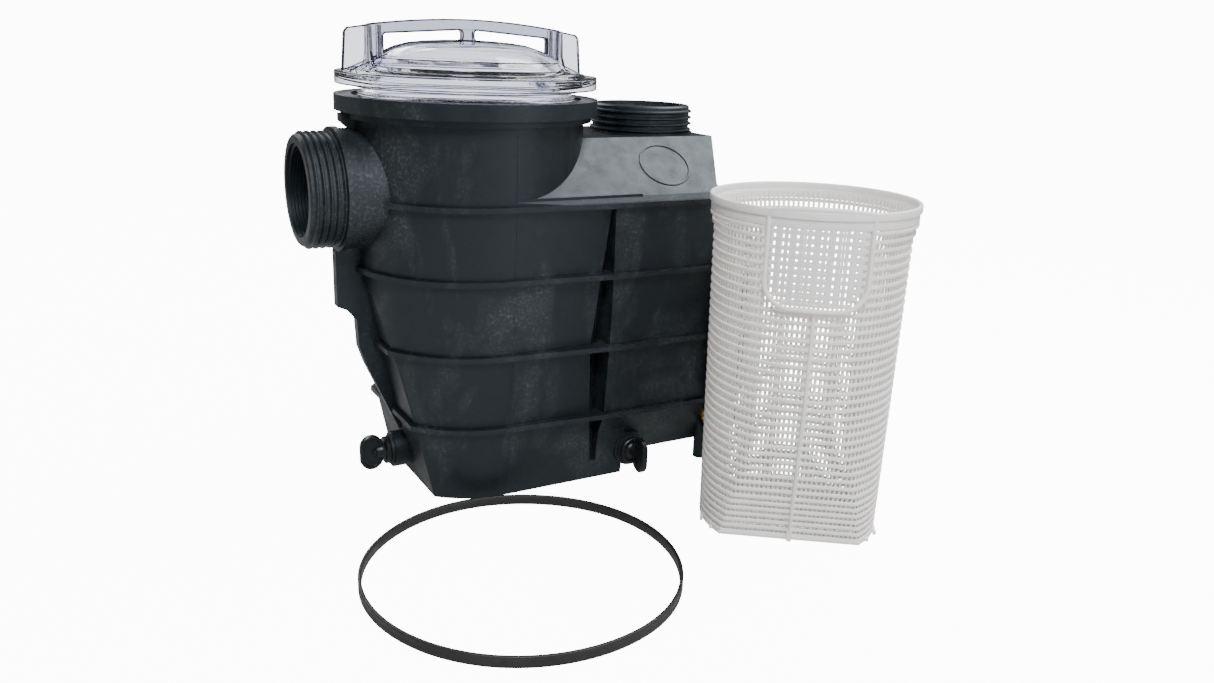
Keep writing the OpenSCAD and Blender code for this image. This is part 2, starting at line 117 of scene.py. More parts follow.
# ------------------------------------------------------------------ materials
def moulded(name, dark, pale, smooth, rough, grain, mottled):
    """Glass-filled moulded plastic: pale flow clouds, speckle, fine grain."""
    m, nt, b = mat(name)
    v = coords(nt)
    clouds = ramp(nt, noise(nt, coords(nt, (1.0, 1.0, 0.55)), 22, 6, 0.62, 0.6), [(0.50, 0.0), (0.72, 1.0)])
    specks = ramp(nt, noise(nt, v, 520, 3, 0.7), [(0.50, 0.0), (0.66, 1.0)])
    specks = math_node(nt, "ADD", math_node(nt, "MULTIPLY", specks, 0.8), 0.25)
    paleness = math_node(nt, "MULTIPLY", math_node(nt, "MULTIPLY", clouds, mottled), specks)
    mix = nt.nodes.new("ShaderNodeMix")
    mix.data_type = "RGBA"
    mix.inputs["A"].default_value = (*dark, 1)
    mix.inputs["B"].default_value = (*pale, 1)
    nt.links.new(paleness, mix.inputs["Factor"])
    nt.links.new(mix.outputs["Result"], b.inputs["Base Color"])
    nt.links.new(ramp(nt, noise(nt, v, 90, 5, 0.6), [(0.3, smooth), (0.7, rough)]), b.inputs["Roughness"])
    b.inputs["Specular IOR Level"].default_value = 0.5
    b.inputs["Specular Tint"].default_value = (0.80, 0.92, 1.0, 1)
    coarse = math_node(nt, "MULTIPLY", noise(nt, v, 160, 3, 0.5), 0.7)
    bump(nt, b, math_node(nt, "ADD", noise(nt, v, grain, 3, 0.6), coarse), 0.00011, 0.55)
    return m

def plain(name, colour, variation, smooth, rough, grain, depth, metallic=0.0, coat=0.0, stretch=(1, 1, 1)):
    """Evenly coloured material with a little variation in colour and gloss, and a fine grain."""
    m, nt, b = mat(name)
    v = coords(nt, stretch)
    dark = tuple(c * (1 - variation) for c in colour)
    pale = tuple(min(1, c * (1 + variation)) for c in colour)
    nt.links.new(ramp(nt, noise(nt, v, 60, 5, 0.6), [(0.3, dark), (0.7, pale)]), b.inputs["Base Color"])
    nt.links.new(ramp(nt, noise(nt, v, 138, 4, 0.6), [(0.3, smooth), (0.7, rough)]), b.inputs["Roughness"])
    b.inputs["Metallic"].default_value = metallic
    b.inputs["Coat Weight"].default_value = coat
    bump(nt, b, noise(nt, v, grain, 3, 0.6), depth, 0.6)
    return m

def clear_plastic(name, tint):
    m, nt, b = mat(name)
    v = coords(nt)
    b.inputs["Base Color"].default_value = (*tint, 1)
    b.inputs["Transmission Weight"].default_value = 1.0
    b.inputs["IOR"].default_value = 1.45
    nt.links.new(ramp(nt, noise(nt, v, 30, 3, 0.5), [(0.4, 0.015), (0.75, 0.06)]), b.inputs["Roughness"])
    bump(nt, b, noise(nt, v, 26, 2, 0.5), 0.0006, 0.18)
    return m

BLACK = moulded("black_glass_filled", (0.005, 0.0075, 0.0098), (0.10, 0.108, 0.115), 0.36, 0.52, 1400, 0.7)
PLUG = moulded("plug_black", (0.006, 0.0062, 0.007), (0.03, 0.03, 0.032), 0.3, 0.42, 1800, 0.3)
INNER = moulded("inner_plastic", (0.02, 0.02, 0.022), (0.07, 0.07, 0.075), 0.35, 0.5, 1400, 0.4)
RUBBER = plain("gasket_rubber", (0.012, 0.012, 0.013), 0.35, 0.42, 0.6, 2600, 0.00006)
STEEL = plain("stainless", (0.58, 0.58, 0.6), 0.1, 0.2, 0.36, 900, 0.00003, 1.0, stretch=(1, 6, 6))
BRASS = plain("brass", (0.68, 0.5, 0.22), 0.12, 0.25, 0.4, 900, 0.00003, 1.0)
CERAMIC = plain("ceramic", (0.82, 0.79, 0.72), 0.05, 0.12, 0.25, 1600, 0.00002, coat=0.3)
WHITE = plain("basket_plastic", (0.935, 0.908, 0.89), 0.035, 0.34, 0.46, 1300, 0.00005, coat=0.05)
WHITE.node_tree.nodes["Principled BSDF"].inputs["Subsurface Weight"].default_value = 0.12
WHITE.node_tree.nodes["Principled BSDF"].inputs["Subsurface Scale"].default_value = 0.002
CLEAR = clear_plastic("clear_cover", (0.875, 0.88, 0.965))
# painted shade: a darker copy of the clear cover plastic for the thick grip band, which looks darker than the
# dome
BAND_SHADE_PAINT = clear_plastic("clear_band_painted_shade", (0.44, 0.455, 0.58))
# painted edge shade: a near-black copy of the clear cover plastic, for the lines where its edges look darker
EDGE_SHADE_PAINT = clear_plastic("clear_painted_edge_shade", (0.05, 0.055, 0.085))

# ------------------------------------------------------------------ mesh helpers
class Shells:
    """Collects several closed shells into one piece."""
    def __init__(self):
        self.verts, self.faces = [], []

    def put(self, verts, faces):
        k = len(self.verts)
        self.verts += [Vector(p) for p in verts]
        self.faces += [tuple(i + k for i in f) for f in faces]

    def lathe(self, profile, n, place=Matrix()):
        """Closed (r, z) profile turned about Z, then moved by the matrix place."""
        k = len(profile)
        verts, faces = [], []
        for i in range(n):
            a = tau * i / n
            verts += [place @ Vector((r * math.cos(a), r * math.sin(a), z)) for r, z in profile]
        for i in range(n):
            j = (i + 1) % n
            faces += [(i * k + q, j * k + q, j * k + (q + 1) % k, i * k + (q + 1) % k) for q in range(k)]
        self.put(verts, faces)

    def sweep(self, path, section, closed=True):
        """path: list of (point, side, up); section: list of (along side, along up) offsets."""
        k, n = len(section), len(path)
        verts = [p + side * s + up * t for p, side, up in path for s, t in section]
        faces = []
        for i in range(n if closed else n - 1):
            j = (i + 1) % n
            faces += [(i * k + q, j * k + q, j * k + (q + 1) % k, i * k + (q + 1) % k) for q in range(k)]
        if not closed:
            faces.append(tuple(range(k)))
            faces.append(tuple((n - 1) * k + q for q in range(k))[::-1])
        self.put(verts, faces)

    def prism(self, outline, a, b, to):
        """Outline of 2D points pushed from a to b; to(x, y, h) gives the 3D point."""
        n = len(outline)
        verts = [to(x, y, a) for x, y in outline] + [to(x, y, b) for x, y in outline]
        faces = [tuple(range(n)), tuple(range(2 * n - 1, n - 1, -1))]
        faces += [(i, (i + 1) % n, n + (i + 1) % n, n + i) for i in range(n)]
        self.put(verts, faces)

    def piece(self, name, material, body, slot, sharp=35, place=None):
        """Makes the piece, riding on its body."""
        me = bpy.data.meshes.new(name)
        me.from_pydata([tuple(place @ v if place else v) for v in self.verts], [], self.faces)
        me.validate()
        bm = bmesh.new()
        bm.from_mesh(me)
        bmesh.ops.remove_doubles(bm, verts=bm.verts, dist=1e-6)
        bmesh.ops.recalc_face_normals(bm, faces=bm.faces)
        bm.to_mesh(me)
        bm.free()
        shade(me, sharp)
        me.materials.append(material)
        o = bpy.data.objects.new(name, me)
        scene.collection.objects.link(o)
        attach(o, body)
        return o

def shade(me, sharp):
    me.polygons.foreach_set("use_smooth", [True] * len(me.polygons))
    me.set_sharp_from_angle(angle=math.radians(sharp))

def ellipse(a, b, n):
    return [(a * math.cos(tau * k / n), b * math.sin(tau * k / n)) for k in range(n)]

def rounded(width, height, rad, n):
    """Rounded rectangle section, centred, with n steps to a corner."""
    pts = []
    for sx, sy, start in ((1, 1, 0), (-1, 1, 90), (-1, -1, 180), (1, -1, 270)):
        for k in range(n + 1):
            a = math.radians(start + 90 * k / n)
            pts.append((sx * (width / 2 - rad) + rad * math.cos(a),
                        sy * (height / 2 - rad) + rad * math.sin(a)))
    return pts

def scaled(pts):
    """2D points from millimetres to metres."""
    return [(x * mm, y * mm) for x, y in pts]

def around(n):
    """n angles from -pi to pi."""
    return [-pi + tau * (i + 0.5) / n for i in range(n)]

def radial(a):
    return Vector((math.cos(a), math.sin(a), 0))

def bevel(o, width, angle):
    md = o.modifiers.new("edge", "BEVEL")
    md.width = width
    md.segments = 2
    md.limit_method = "ANGLE"
    md.angle_limit = math.radians(angle)
    md.harden_normals = True

# ------------------------------------------------------------------ carried-over CAD nodes
FINISH = {BLACK: ("strainer_housing", "suction_port", "discharge_port", "seal_plate"),
          INNER: ("diffuser", "impeller"),
          RUBBER: ("cover_seal", "drain_plug_front_gasket", "drain_plug_side_gasket", "diffuser_ring",
                   "seal_head", "seal_cup"),
          STEEL: ("diffuser_screws", "impeller_screw", "seal_spring", "housing_bolts", "housing_washers"),
          BRASS: ("bolt_inserts",), CERAMIC: ("seal_seat",), WHITE: ("impeller_ring",)}
EDGE_WIDTHS = {"strainer_housing": 0.7, "suction_port": 0.3, "discharge_port": 0.3, "seal_plate": 0.6,
               "housing_bolts": 0.35, "diffuser": 0.3, "impeller": 0.3}

def finish_cad_nodes():
    for material, names in FINISH.items():
        for name in names:
            me = nodes[name].data
            me.materials.clear()
            me.materials.append(material)
            shade(me, 28)
    for name, width in EDGE_WIDTHS.items():
        bevel(nodes[name], width * mm, 32)

finish_cad_nodes()

# ------------------------------------------------------------------ cover
# in millimetres, heights over the underside of its rim
COVER_Z = 268.0
COVER_PROFILE = [
    (61.5, -18.2), (62.2, -18.4), (67.2, -18.4), (67.8, -17.8), (67.8, -12.2), (70.8, -12), (71.2, -11.6),
    (71.2, -10.2), (68.45, -10.2), (68.45, -6.8), (71.2, -6.8), (71.2, -5.4), (70.8, -5), (68.2, -5),
    (68.2, -1.6), (73.0, -1.6), (73.5, -1.2), (73.5, -0.01), (84.2, 0), (85, 0.8), (85, 7.2), (84.2, 8),
    (77.5, 8.2), (76.6, 9.4), (75.4, 9.6), (70, 10.2), (68.6, 11.4), (67.0, 11.6), (66.2, 10.8),
    (64.6, 11.2), (62.5, 14.2), (60, 16.6), (55, 20.2), (48.5, 23.4), (40, 25.6), (30, 26.8), (15, 27.7),
    (0.01, 28), (0.01, 24.2), (15, 23.8), (30, 22.9), (40, 21.6), (47, 19.4), (53, 16), (57, 12.4),
    (59.6, 8.4), (60.4, 5.2), (61.5, 2.5)]
# circles of painted edge shade, dark lines where the clear plastic's edges look darker: radius, height, line
# radius
SHADE_HOOPS = ((84.6, 7.6, 0.42), (84.6, 0.5, 0.35), (76.4, 9.2, 0.4), (67.6, 11.4, 0.55), (66.0, 11.0, 0.4),
               (60.2, 16.6, 0.3), (73.2, -1.4, 0.35), (67.6, -18.2, 0.35))
LUG_START, LUG_ANGLE, LUG_R, LUG_Z = -8.5, 9, 69.0, -16.7
GRIP_HALF = 2.4                    # half the grip's thickness
GRIP_END, WINDOW_END, MIDDLE_POST = 66, 57.2, 4
BAND_DEPTH = 7.2                   # from the grip's crown down to the windows
WINDOW_CORNER = 2.2
POST_FLANGES = ((65.0, 67.0, 8.5), (58.4, 60.4, 5.5))     # from x, to x, half width
GUSSET_Y = 6.5
SHADE_LINE_RADIUS = 0.45                        # usual radius of a painted edge-shade line

def cover_point(x, y, z):
    return Vector((x, y, COVER_Z + z)) * mm

def crown(x):
    """Height of the grip's top edge."""
    return 42.2 - 7.4 * (abs(x) / 82) ** 1.9

def wall(shells, outline, y0, y1):
    """(x, z) outline as a plate from y0 to y1."""
    shells.prism(outline, y0, y1, lambda x, z, y: cover_point(x, y, z))

def line(shells, pts, rad, y, closed=False):
    """Thin dark line of painted edge shade along (x, z) points at depth y."""
    across = Vector((0, 1, 0))
    path = []
    for i, (x, z) in enumerate(pts):
        before = pts[i - 1] if closed or i else pts[i]
        after = pts[(i + 1) % len(pts)] if closed or i < len(pts) - 1 else pts[i]
        along = Vector((after[0] - before[0], 0, after[1] - before[1])).normalized()
        path.append((cover_point(x, y, z), along.cross(across).normalized(), across))
    shells.sweep(path, scaled(ellipse(rad, 0.8 * rad, 8)), closed=closed)

def both_faces(shells, pts, rad, y, closed=False):
    for side in (-y, y):
        line(shells, pts, rad, side, closed)

def window_outline(side):
    """Rounded outline of one window, its foot inside the dome."""
    outline = []
    inner, outer = MIDDLE_POST - 0.2 + WINDOW_CORNER, WINDOW_END - WINDOW_CORNER
    top = BAND_DEPTH - 0.2 + WINDOW_CORNER
    for x, z, start in ((inner, 30.4, 180), (outer, 22.6, 270), (outer, crown(outer) - top, 0),
                        (inner, crown(inner) - top, 90)):
        for k in range(5):
            a = math.radians(start + 90 * k / 4)
            outline.append((side * (x + WINDOW_CORNER * math.cos(a)), z + WINDOW_CORNER * math.sin(a)))
    return outline

def cover_body():
    body = Shells()
    body.lathe([(r * mm, COVER_Z * mm + z * mm) for r, z in COVER_PROFILE], 192)
    for k in range(4):
        path = []
        for i in range(7):
            out = radial(math.radians(LUG_START + 90 * k) + math.radians(LUG_ANGLE) * i / 6)
            path.append(((out * LUG_R + UP * (COVER_Z + LUG_Z)) * mm, out, UP))
        body.sweep(path, scaled(rounded(3.6, 2.5, 0.5, 2)), closed=False)
    for s in (-1, 1):
        # end fin, then the cross flanges of the two posts, then the gussets down to the rim
        wall(body, [(s * 65, 8.2), (s * 65, crown(65) - 1), (s * 79, crown(79) - 1.2),
                    (s * 80.6, crown(80) - 3), (s * 82.6, 8.0)], -1.5, 1.5)
        top = crown(62) - 1.5
        for x0, x1, half in POST_FLANGES:
            outline = [(-half * 1.5, 8.0), (half * 1.5, 8.0), (half * 0.72, 20), (half * 0.6, top),
                       (-half * 0.6, top), (-half * 0.72, 20)]
            body.prism(outline, s * x0, s * x1, lambda y, z, x: cover_point(x, y, z))
        for y in (-GUSSET_Y, GUSSET_Y):
            wall(body, [(s * 52, 12.5), (s * 52, 21.0), (s * 66, 14.5), (s * 80, 8.2), (s * 60, 8.2)],
                 y - 0.8, y + 0.8)
    return body

def cover_band():
    """Thick top band and posts of the grip, round its two windows."""
    band = Shells()
    xs = [-GRIP_END + 2 * GRIP_END * i / 44 for i in range(45)]
    under = [(x, crown(x) - BAND_DEPTH) for x in reversed(xs)]
    wall(band, [(x, crown(x) - 0.6) for x in xs] + under, -GRIP_HALF, GRIP_HALF)
    for x0, x1, foot in ((-GRIP_END, -WINDOW_END, 8.5), (WINDOW_END, GRIP_END, 8.5),
                         (-MIDDLE_POST, MIDDLE_POST, 27.7)):
        top = 0.2 - BAND_DEPTH
        wall(band, [(x0, foot), (x1, foot), (x1, crown(x1) + top), (x0, crown(x0) + top)],
             -GRIP_HALF, GRIP_HALF)
    return band

def edge_shade_lines():
    """Painted edge shade: dark lines where thick clear plastic looks darker along its edges."""
    lines = Shells()
    both_faces(lines, [(x, crown(x) - 0.9) for x in [-65 + 130 * i / 50 for i in range(51)]], SHADE_LINE_RADIUS, GRIP_HALF)
    for r, z, rad in SHADE_HOOPS:
        lines.lathe([((r + x) * mm, (COVER_Z + z + y) * mm) for x, y in ellipse(rad, rad, 8)], 144)
    for s in (-1, 1):
        both_faces(lines, window_outline(s), 0.5, GRIP_HALF, closed=True)
        both_faces(lines, [(s * 65.5, crown(65) - 1.4), (s * 79, crown(79) - 1.4),
                           (s * 80.8, crown(80) - 3.4), (s * 82.6, 8.6)], SHADE_LINE_RADIUS, 1.5)
        for x in (58.6, 60.2, 65.2, 66.8):
            both_faces(lines, [(s * x, 13), (s * x, 22), (s * x, crown(x) - 2)], 0.42, 2.7)
        dome = ((57, 18.8), (52, 21.8), (48.5, 23.4), (40, 25.6), (30, 26.8), (15, 27.7), (0, 28))
        both_faces(lines, [(s * x, z + 0.3) for x, z in dome], 0.55, 2.6)
        for y in (-GUSSET_Y, GUSSET_Y):
            line(lines, [(s * 52, 21.0), (s * 66, 14.5), (s * 80, 8.6)], SHADE_LINE_RADIUS, y)
    return lines

def make_cover():
    cover = cover_body().piece("cover_clear", CLEAR, "cover", "clear_cover")
    # the grip band in the darker clear plastic of painted shade
    cover_band().piece("cover_grip_band", BAND_SHADE_PAINT, "cover", "clear_cover")
    # dark lines of painted edge shade along the cover's edges
    edge_shade_lines().piece("cover_painted_edge_shade", EDGE_SHADE_PAINT, "cover", "clear_cover")
    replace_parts(cover, "strainer_cover")
    bevel(cover, 0.4 * mm, 40)

make_cover()

# ------------------------------------------------------------------ strainer basket
# in millimetres, its front at -X until it is placed
BASKET_PLACE = (Matrix.Translation((0.158, -0.170, 0)) @ Matrix.Rotation(math.radians(54), 4, "Z")
                @ Matrix.Scale(mm, 4))
BASKET_H = 214.0
UPRIGHTS = 112
FLOOR_PITCH = 6.2
PANEL_HALF, PANEL_TOP, PANEL_FOOT = 29.5, BASKET_H + 1.0, BASKET_H - 57.0
PANEL_R = 63.1
PANEL_PITCH = 4.25                 # between the panel's bars
PANEL_BAR = 1.1                    # half a bar's width

def basket_radius(z):
    """The wall leans out a little, then steps out under the rim."""
    if z < 190:
        return 57.5 + 3.0 * z / 190
    if z < BASKET_H - 22:
        return 60.5
    if z < BASKET_H - 12:
        return 60.5 + 2.5 * (z - (BASKET_H - 22)) / 10
    return 63.0

def front_cut(z):
    """Distance of the flat sloping front from the axis."""
    if z < 97:
        return 37 + (58 - 37) * z / 97
    return 58 + 10 * (z - 97) / 45

def wall_point(a, z, off=0.0):
    """Point on the basket's wall; a is the angle from its front, off moves it outward."""
    r, cut = basket_radius(z) + off, front_cut(z) + off
    x, y = -r * math.cos(a), r * math.sin(a)
    if -x > cut:
        # on the flat front the points spread evenly across its width
        x = -cut
        y = math.copysign(math.sqrt(r * r - cut * cut) * abs(a) / math.acos(cut / r), a)
    return Vector((x, y, z))

def from_axis(a):
    return Vector((-math.cos(a), math.sin(a), 0))

def outward(a, z):
    along = (wall_point(a + 0.01, z) - wall_point(a - 0.01, z)).normalized()
    normal = -along.cross(UP)
    return (normal if normal.dot(from_axis(a)) > 0 else -normal).normalized()

def in_panel(p, grow=0.0):
    return p.x < 0 and abs(p.y) < PANEL_HALF - 1 + grow and p.z > PANEL_FOOT + 1 - grow

def wall_hoops(shells):
    """Level hoops, open at the front where the panel sits."""
    section = rounded(1.7, 2.3, 0.55, 2)
    z = 3.2
    while z < BASKET_H - 9:
        angles = around(180)
        closed = z < PANEL_FOOT
        if not closed:
            kept = [a for a in angles if not in_panel(wall_point(a, z), 0.2)]
            angles = [a for a in kept if a > 0] + [a for a in kept if a < 0]
        shells.sweep([(wall_point(a, z, -0.85), outward(a, z), UP) for a in angles], section, closed)
        z += 5.35 if z > 30 else 4.6

def wall_uprights(shells):
    """Upright bars inside the hoops, ending at the panel."""
    section = rounded(1.5, 1.6, 0.3, 1)
    heights = [1.2] + [3 + k * 9.6 for k in range(22)] + [BASKET_H - 6]
    for a in around(UPRIGHTS):
        path = []
        for z in heights:
            if not in_panel(wall_point(a, z)):
                n = outward(a, z)
                path.append((wall_point(a, z, -2.25), n, n.cross(UP)))
        shells.sweep(path, section, closed=False)

def bar(shells, x0, x1, y0, y1, z0, z1):
    shells.prism([(x0, y0), (x1, y0), (x1, y1), (x0, y1)], z0, z1, lambda x, y, z: Vector((x, y, z)))

def basket_floor(shells):
    """Crossed bars in a raised edge."""
    edge = [wall_point(a, 1.0, -0.3) for a in around(120)]
    places = [k * FLOOR_PITCH for k in range(-9, 10)]
    for x in places:
        ys = [p.y for p in edge if abs(p.x - x) < 3.4]
        if ys:
            bar(shells, x - 1, x + 1, min(ys) + 1, max(ys) - 1, 0.9, 2.9)
    for y in places:
        xs = [p.x for p in edge if abs(p.y - y) < 3.4]
        if xs:
            bar(shells, min(xs) + 1, max(xs) - 1, y - 1, y + 1, 0.7, 2.6)
    shells.sweep([(wall_point(a, 1.4, -1.2), outward(a, 1.4), UP) for a in around(180)],
                 rounded(2.4, 2.6, 0.8, 3))

def basket_rim(shells):
    """Rolled rim and the band under it."""
    angles = around(200)
    shells.sweep([(from_axis(a) * 62.6 + UP * (BASKET_H - 2.6), from_axis(a), UP) for a in angles],
                 rounded(2.7, 5.0, 0.9, 3))
    band = BASKET_H - 7.5
    shells.sweep([(wall_point(a, band, -1.2), outward(a, band), UP) for a in angles],
                 rounded(2.0, 6.0, 0.6, 2))

def panel_point(y, z, off):
    """Point on the panel's cylinder, which rises in a low crest at its top."""
    r = PANEL_R + off
    crest = BASKET_H - 6
    rise = 3.2 * max(0.0, 1 - (y / PANEL_HALF) ** 2) * (z - crest) / 7 if z > crest else 0.0
    return Vector((-math.sqrt(r * r - y * y), y, z + rise))

def slab(shells, y0, y1, z0, z1, off, thick, ny, nz):
    """Curved slab on the panel's cylinder, ny by nz steps."""
    verts = [panel_point(y0 + (y1 - y0) * i / ny, z0 + (z1 - z0) * j / nz, o)
             for o in (off, off - thick) for j in range(nz + 1) for i in range(ny + 1)]
    row, layer = ny + 1, (ny + 1) * (nz + 1)
    faces = []
    for j in range(nz):
        for i in range(ny):
            quad = (j * row + i, j * row + i + 1, (j + 1) * row + i + 1, (j + 1) * row + i)
            faces += [quad, tuple(k + layer for k in reversed(quad))]
    edge = (list(range(ny + 1)) + [j * row + ny for j in range(1, nz + 1)]
            + [nz * row + i for i in range(ny - 1, -1, -1)] + [j * row for j in range(nz - 1, 0, -1)])
    for a, b in zip(edge, edge[1:] + edge[:1]):
        faces.append((a, a + layer, b + layer, b))
    shells.put(verts, faces)

def panel_grid(shells):
    for k in range(-6, 8):
        y = (k - 0.5) * PANEL_PITCH
        if abs(y) < PANEL_HALF - 2:
            foot = PANEL_FOOT + 3 + max(0.0, abs(y) - 16) * 0.75
            slab(shells, y - PANEL_BAR, y + PANEL_BAR, foot, BASKET_H - 3, -0.5, 1.5, 1, 1)
    for k in range(12):
        z = PANEL_FOOT + 3.2 + k * PANEL_PITCH * 1.07
        half = PANEL_HALF - 2 - max(0.0, PANEL_FOOT + 13 - z) * 0.75
        slab(shells, -half, half, z - PANEL_BAR, z + PANEL_BAR, -0.55, 1.4, 16, 1)
    slab(shells, 1 - PANEL_HALF, PANEL_HALF - 1, BASKET_H - 6.5, BASKET_H - 0.2, -0.2, 2.0, 20, 3)

def panel_frame(shells):
    """Raised frame: large round corners below, small ones above."""
    corners = []
    for side, z_sign, start, rad in ((-1, -1, 180, 15), (1, -1, 270, 15), (1, 1, 0, 2.5), (-1, 1, 90, 2.5)):
        for k in range(9):
            a = math.radians(start + 90 * k / 8)
            z = PANEL_TOP - 2.2 - rad if z_sign > 0 else PANEL_FOOT + rad
            corners.append((side * (PANEL_HALF - rad) + rad * math.cos(a), z + rad * math.sin(a)))
    outline = []
    for (y0, z0), (y1, z1) in zip(corners, corners[1:] + corners[:1]):
        n = max(1, int(math.hypot(y1 - y0, z1 - z0) / 3))
        outline += [(y0 + (y1 - y0) * k / n, z0 + (z1 - z0) * k / n) for k in range(n)]
    pts = [panel_point(y, z, -0.4) for y, z in outline]
    path = []
    for before, p, after in zip(pts[-1:] + pts[:-1], pts, pts[1:] + pts[:1]):
        n = Vector((p.x, p.y, 0)).normalized()
        path.append((p, n, (after - before).normalized().cross(n).normalized()))
    shells.sweep(path, rounded(2.6, 2.6, 0.9, 3))

def middle_fin(shells):
    """Upright fin under the panel, with its foot tab."""
    path = []
    for z in (0.7, 6, 20, 40, 60, 80, 97, 110, 130, 150, PANEL_FOOT):
        front = min(basket_radius(z), front_cut(z)) + 0.1
        path.append((Vector((-front, 0, z)), Vector((-1, 0, 0)), Vector((0, 1, 0))))
    shells.sweep(path, rounded(2.6, 1.9, 0.5, 2), closed=False)
    shells.prism([(-1.4, 0.1), (1.4, 0.1), (1.8, 9), (-1.8, 9)], -39.5, -35.0,
                 lambda y, z, x: Vector((x, y, z)))

def make_basket():
    basket = Shells()
    for part in (wall_hoops, wall_uprights, basket_floor, basket_rim, panel_grid, panel_frame, middle_fin):
        part(basket)
    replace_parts(basket.piece("basket_mesh", WHITE, "basket", "white_plastic", place=BASKET_PLACE),
                "strainer_basket")

make_basket()

# ------------------------------------------------------------------ gasket band
GASKET_CENTRE = Vector((-0.033, -0.165, 0.00325))
GASKET_R = 92.75
GASKET_SECTION = [(-1.0, -3.0), (-0.75, -3.25), (0.75, -3.25), (1.0, -3.0), (1.0, -0.6), (0.86, -0.3),
                  (0.86, 0.3), (1.0, 0.6), (1.0, 3.0), (0.75, 3.25), (-0.75, 3.25), (-1.0, 3.0)]

def make_gasket():
    """Loose band, a little out of round."""
    path = []
    for i in range(240):
        a = tau * i / 240
        r = GASKET_R + 0.25 * math.sin(2 * a + 0.6) + 0.14 * math.sin(5 * a)
        path.append((GASKET_CENTRE + radial(a) * r * mm, radial(a), UP))
    band = Shells()
    band.sweep(path, scaled(GASKET_SECTION))
    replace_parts(band.piece("gasket_band", RUBBER, "gasket", "rubber", sharp=50), "housing_gasket")

make_gasket()

# ------------------------------------------------------------------ threads
def helix_thread(name, root, tip, pitch, turns, steps, place, material, body, slot):
    """Ridge wound up Z from radius root to tip, fading at both ends; sizes in metres."""
    last = int(turns * steps)
    half = pitch * 0.42
    back = root + math.copysign(0.4 * mm, root - tip)
    verts, faces = [], []
    for i in range(last + 1):
        a = tau * i / steps
        fade = min(1.0, i / (steps * 0.3), (last - i) / (steps * 0.3))
        crest = root + (tip - root) * max(fade, 0.02)
        for r, dz in ((back, -half), (crest, -half * 0.22), (crest, half * 0.22), (back, half)):
            verts.append(place @ (radial(a) * r + UP * (pitch * a / tau + dz)))
    for i in range(last):
        for q in range(4):
            q2 = (q + 1) % 4
            faces.append((i * 4 + q, (i + 1) * 4 + q, (i + 1) * 4 + q2, i * 4 + q2))
    faces += [(0, 1, 2, 3), tuple(last * 4 + q for q in (3, 2, 1, 0))]
    ridge = Shells()
    ridge.put(verts, faces)
    ridge.piece(name, material, body, slot, sharp=30)

PORT_R, PORT_TIP, PORT_PITCH = 29.2 * mm, 28.1 * mm, 2.209 * mm
# rolled lip at a port's mouth, its depth measured inward
PORT_LIP = [(29.25, 0.2), (30.2, -0.25), (33.2, -0.3), (33.9, 0.3), (33.9, 1.2), (29.3, 1.2)]
PORTS = {"suction": (Matrix.Translation((-0.1135, 0, 0.2033)) @ Matrix.Rotation(pi / 2, 4, "Y"), 8.5),
         "discharge": (Matrix.Translation((0.1345, 0, 0.2562)) @ Matrix.Rotation(pi, 4, "X"), 7.0)}

def make_ports():
    for port, (place, turns) in PORTS.items():
        helix_thread(port + "_inner_thread", PORT_R, PORT_TIP, PORT_PITCH, turns, 72,
                     place @ Matrix.Translation((0, 0, 1.6 * mm)), BLACK, "housing", "black_plastic")
        lip = Shells()
        lip.lathe(scaled(PORT_LIP), 128, place)
        lip.piece(port + "_mouth_lip", BLACK, "housing", "black_plastic")

make_ports()

# ------------------------------------------------------------------ drain plugs
# in millimetres, turned about Z
PLUG_PROFILE = [(7.4, 0.0), (7.4, 2.0), (9.1, 2.05), (9.5, 2.5), (9.5, 4.7), (9.0, 5.2), (6.2, 5.4),
                (5.2, 6.4), (4.6, 8.2), (4.3, 11.0), (0.01, 11.2), (0.01, -10.9), (6.0, -10.9),
                (6.55, -10.2), (6.6, 0.0)]
# rings across the wing from face to face, sunk in the middle of each face: scale, depth
WING_RINGS = ((1.0, -1.4), (0.9, -2.0), (0.72, -2.0), (0.66, -1.35), (0.66, 1.35), (0.72, 2.0), (0.9, 2.0),
              (1.0, 1.4))
WING_Z = 14

def wing(shells, n=40):
    """Oval plate with a raised edge."""
    verts = []
    for scale, depth in WING_RINGS:
        for i in range(n):
            c, s = math.cos(tau * i / n), math.sin(tau * i / n)
            verts.append((math.copysign(4.5, c) + 8 * scale * c, depth, 8 * scale * s + WING_Z))
    rings = len(WING_RINGS)
    middle = rings // 2
    faces = [tuple((middle - 1) * n + i for i in range(n)), tuple(middle * n + i for i in reversed(range(n)))]
    for k in range(rings):
        if k != middle - 1:
            k2 = (k + 1) % rings
            faces += [(k * n + i, k * n + (i + 1) % n, k2 * n + (i + 1) % n, k2 * n + i) for i in range(n)]
    shells.put(verts, faces)

def make_plug(name, place, body, node):
    shells = Shells()
    shells.lathe(PLUG_PROFILE, 64)
    wing(shells)
    for s in (-1, 1):
        # webs from the hub up the wing
        shells.prism([(-3.6, 4.8), (3.6, 4.8), (1.6, 13.5), (-1.6, 13.5)], s * 1.2, s * 3.0,
                     lambda x, z, y: Vector((x, y, z)))
    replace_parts(shells.piece(name, PLUG, body, "plug_plastic", place=place @ Matrix.Scale(mm, 4)), node)
    helix_thread(name + "_thread", 6.6 * mm, 6.8 * mm, 1.411 * mm, 6, 40,
                 place @ Matrix.Translation((0, 0, -9.8 * mm)), PLUG, body, "plug_plastic")

make_plug("drain_front_wing", Matrix.Translation((-0.05805, 0, 0.02)) @ Matrix.Rotation(-pi / 2, 4, "Y"),
          "drain_front", "drain_plug_front")
make_plug("drain_side_wing", Matrix.Translation((0.097, -0.06705, 0.019)) @ Matrix.Rotation(pi / 2, 4, "X")
          @ Matrix.Rotation(pi / 2, 4, "Z"), "drain_side", "drain_plug_side")

